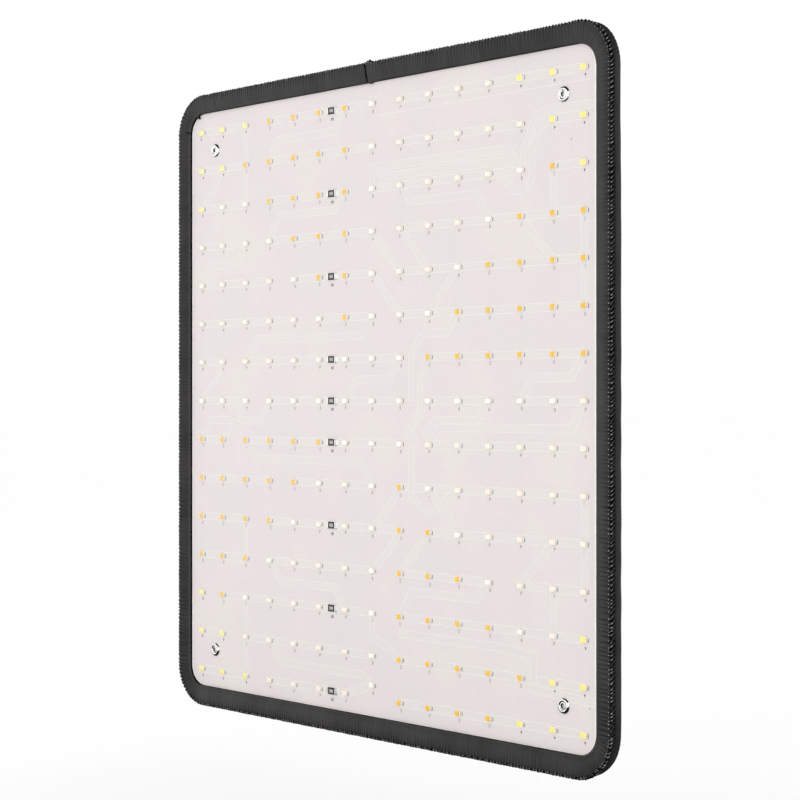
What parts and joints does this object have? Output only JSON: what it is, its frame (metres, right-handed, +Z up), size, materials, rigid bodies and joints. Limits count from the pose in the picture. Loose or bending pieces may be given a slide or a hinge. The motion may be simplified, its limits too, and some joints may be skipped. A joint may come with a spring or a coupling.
{
  "type": "led grow light",
  "caption": "Square flexible LED grow-light mat with a gathered edge binding, corner press studs and a rear DC connector box; it folds along horizontal lines and springs back flat.",
  "frame": {"origin": "midway between the top two snap studs, on the plane that the studs stand on at the back of the mat", "axes": "+Z up, +Y out of the back along the studs, LEDs face -Y, +X to the right seen from the front"},
  "size_m": [0.318, 0.0243, 0.318],
  "materials": {
    "board_white": "satin solder mask",
    "core_foam": "soft closed-cell sheet",
    "cover_black": "woven coated cloth",
    "binding_black": "gathered coated tape",
    "thread_black": "twisted thread",
    "package_cream": "moulded",
    "window_yellow": "phosphor gel",
    "window_orange": "phosphor gel",
    "window_clear": "clear silicone over the die",
    "resistor_black": "coated ceramic",
    "snap_chrome": "polished",
    "box_plastic": "fine texture",
    "gasket_rubber": "matte",
    "screw_steel": "plated",
    "socket_plastic": "moulded",
    "pin_brass": "polished",
    "terminal_green": "laminate"
  },
  "bodies": {
    "top": {"top_binding_stitching": "thread_black", "top_chip_resistors": "resistor_black", "top_clear_led_windows": "window_clear", "top_cool_white_led_windows": "window_yellow", "top_core_sheet": "core_foam", "top_edge_binding": "binding_black", "top_flex_board": "board_white", "top_led_packages": "package_cream", "top_rear_cover": "cover_black", "top_snap_posts": "snap_chrome", "top_snap_studs": "snap_chrome", "top_warm_led_windows": "window_orange"},
    "upper": {"upper_binding_stitching": "thread_black", "upper_chip_resistors": "resistor_black", "upper_clear_led_windows": "window_clear", "upper_core_sheet": "core_foam", "upper_edge_binding": "binding_black", "upper_flex_board": "board_white", "upper_led_packages": "package_cream", "upper_rear_cover": "cover_black", "upper_warm_led_windows": "window_orange"},
    "centre": {"centre_binding_stitching": "thread_black", "centre_chip_resistors": "resistor_black", "centre_clear_led_windows": "window_clear", "centre_core_sheet": "core_foam", "centre_edge_binding": "binding_black", "centre_flex_board": "board_white", "centre_led_packages": "package_cream", "centre_rear_cover": "cover_black", "centre_warm_led_windows": "window_orange", "connector_box_gasket": "gasket_rubber", "connector_box_housing": "box_plastic", "connector_box_lid": "box_plastic", "connector_box_lid_screws": "screw_steel", "dc_inlet_centre_pin": "pin_brass", "dc_inlet_nut": "screw_steel", "dc_inlet_socket": "socket_plastic", "terminal_board": "terminal_green"},
    "lower": {"lower_binding_stitching": "thread_black", "lower_chip_resistors": "resistor_black", "lower_clear_led_windows": "window_clear", "lower_core_sheet": "core_foam", "lower_edge_binding": "binding_black", "lower_flex_board": "board_white", "lower_led_packages": "package_cream", "lower_rear_cover": "cover_black", "lower_warm_led_windows": "window_orange"},
    "bottom": {"bottom_binding_stitching": "thread_black", "bottom_chip_resistors": "resistor_black", "bottom_clear_led_windows": "window_clear", "bottom_cool_white_led_windows": "window_yellow", "bottom_core_sheet": "core_foam", "bottom_edge_binding": "binding_black", "bottom_flex_board": "board_white", "bottom_led_packages": "package_cream", "bottom_rear_cover": "cover_black", "bottom_snap_posts": "snap_chrome", "bottom_snap_studs": "snap_chrome", "bottom_warm_led_windows": "window_orange"}
  },
  "joints": [
    {"name": "upper_fold", "type": "hinge", "parent": "top", "child": "upper", "pos_m": [0, -0.0038, -0.0395], "axis": [1, 0, 0], "range_deg": [-60, 60], "stiffness_Nm_per_rad": 0.5},
    {"name": "upper_centre_fold", "type": "hinge", "parent": "upper", "child": "centre", "pos_m": [0, -0.0038, -0.0995], "axis": [1, 0, 0], "range_deg": [-60, 60], "stiffness_Nm_per_rad": 0.5},
    {"name": "lower_centre_fold", "type": "hinge", "parent": "centre", "child": "lower", "pos_m": [0, -0.0038, -0.1595], "axis": [1, 0, 0], "range_deg": [-60, 60], "stiffness_Nm_per_rad": 0.5},
    {"name": "lower_fold", "type": "hinge", "parent": "lower", "child": "bottom", "pos_m": [0, -0.0038, -0.2195], "axis": [1, 0, 0], "range_deg": [-60, 60], "stiffness_Nm_per_rad": 0.5}
  ]
}
